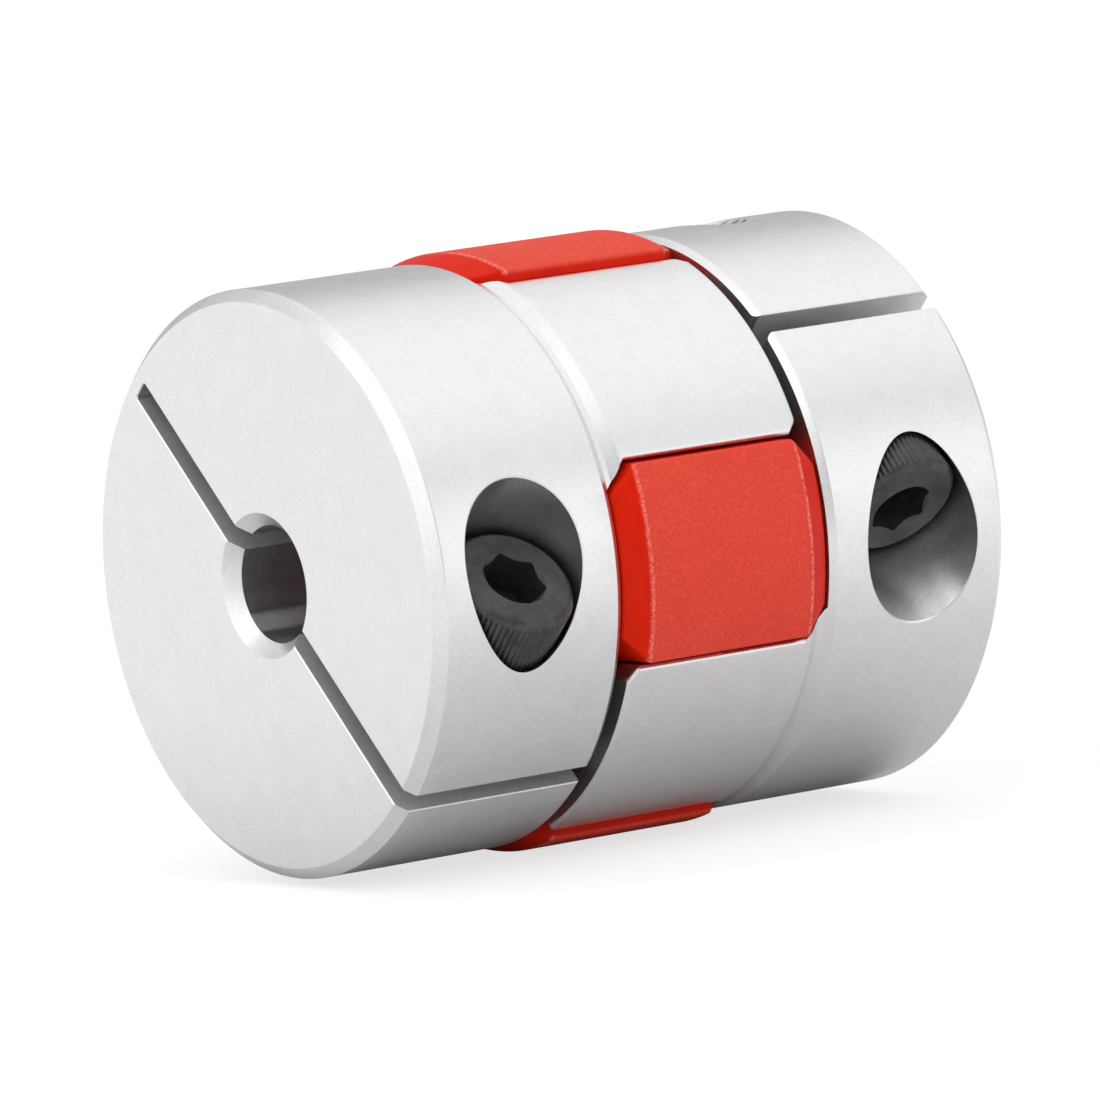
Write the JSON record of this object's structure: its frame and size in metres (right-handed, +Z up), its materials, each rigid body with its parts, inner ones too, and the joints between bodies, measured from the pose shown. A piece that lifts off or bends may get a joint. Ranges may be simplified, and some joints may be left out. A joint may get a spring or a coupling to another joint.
{
  "type": "jaw coupling",
  "caption": "Clamp-type jaw coupling that joins two 5 mm shafts through an elastomer spider held between the jaws of two slit aluminium hubs.",
  "frame": {"origin": "middle of the coupling, on the axis of the two shafts", "axes": "+X runs along the shafts' axis from hub_a to hub_b, +Z up; the spider's arms point along +Y, -Y, +Z and -Z"},
  "size_m": [0.03, 0.0261, 0.0254],
  "materials": {
    "turned_aluminium": "satin, finely turned, with milled jaws and a sawn slit",
    "red_polyurethane": "semi-matt moulded polyurethane with a fine pebbled skin",
    "black_oxide_steel": "black oxide on alloy steel, satin"
  },
  "bodies": {
    "hub_a": {"hub_a": "turned_aluminium"},
    "clamp_screw_a": {"clamp_screw_a": "black_oxide_steel"},
    "spider": {"spider": "red_polyurethane"},
    "hub_b": {"hub_b": "turned_aluminium"},
    "clamp_screw_b": {"clamp_screw_b": "black_oxide_steel"}
  },
  "joints": [
    {"name": "screw_a_turn", "type": "hinge", "parent": "hub_a", "child": "clamp_screw_a", "pos_m": [-0.0104, -0.00573, -0.00573], "axis": [0, -0.7071, 0.7071], "range_deg": [-698, 3040]},
    {"name": "spider_windup", "type": "hinge", "parent": "hub_a", "child": "spider", "pos_m": [0, 0, 0], "axis": [1, 0, 0], "range_deg": [-0.45, 0.45], "stiffness_Nm_per_rad": 0.5},
    {"name": "hub_b_pull", "type": "slide", "parent": "spider", "child": "hub_b", "axis": [1, 0, 0], "range_m": [0, 0.0115]},
    {"name": "screw_b_turn", "type": "hinge", "parent": "hub_b", "child": "clamp_screw_b", "pos_m": [0.0104, -0.00573, 0.00573], "axis": [0, -0.7071, -0.7071], "range_deg": [-122, 3610]}
  ]
}
